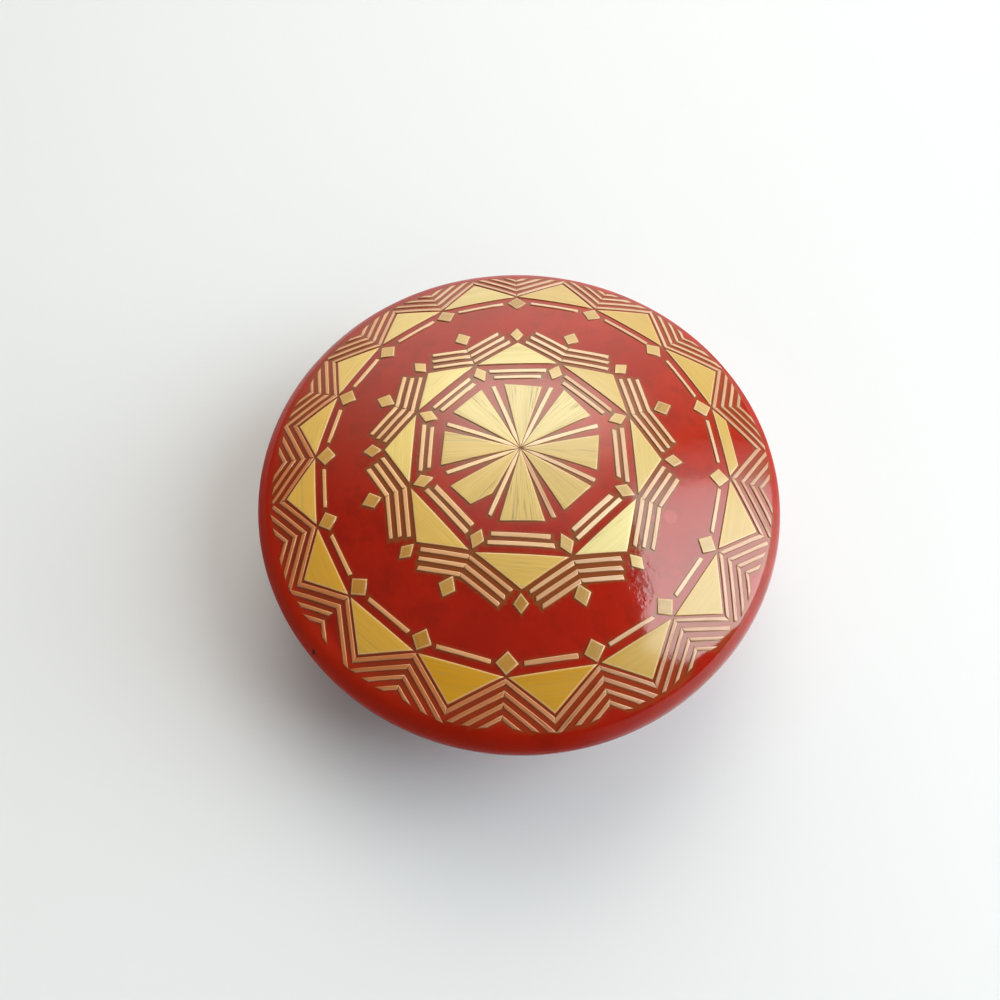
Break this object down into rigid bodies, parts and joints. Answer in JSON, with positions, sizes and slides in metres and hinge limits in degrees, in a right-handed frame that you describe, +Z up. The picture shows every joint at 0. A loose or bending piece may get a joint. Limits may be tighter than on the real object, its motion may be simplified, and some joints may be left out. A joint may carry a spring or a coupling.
{
  "type": "lacquered trinket box",
  "caption": "Low round turned box with a lift-off domed lid; the red lacquered dome carries a star and zigzag rings of split straw.",
  "frame": {"origin": "middle of the foot's resting plane, on the axis that the box was turned on", "axes": "+Z up along the turning axis; +Y points away from the viewer of the picture and +X to the right"},
  "size_m": [0.1, 0.1, 0.0406],
  "materials": {
    "red_lacquer": "gloss lacquer over turned wood",
    "golden_straw": "split straw under clear varnish",
    "tan_straw": "split straw under clear varnish",
    "pale_straw": "split straw under clear varnish"
  },
  "bodies": {
    "base": {"base_bowl": "red_lacquer"},
    "lid": {"lid_shell": "red_lacquer", "star_kites": "golden_straw", "middle_triangles": "golden_straw", "outer_triangles": "golden_straw", "octagon_lozenges": "tan_straw", "apex_lozenges": "tan_straw", "outer_lozenges": "tan_straw", "ring_lozenges": "tan_straw", "star_rays": "pale_straw", "ring_strips": "pale_straw", "octagon_strips_1": "pale_straw", "octagon_strips_2": "pale_straw", "middle_chevrons_1": "pale_straw", "middle_chevrons_2": "pale_straw", "middle_chevrons_3": "pale_straw", "outer_chevrons_1": "pale_straw", "outer_chevrons_2": "pale_straw", "outer_chevrons_3": "pale_straw", "outer_chevrons_4": "pale_straw"}
  },
  "joints": [
    {"name": "lid_lift", "type": "slide", "parent": "base", "child": "lid", "axis": [0, 0, 1], "range_m": [0, 0.06]}
  ]
}
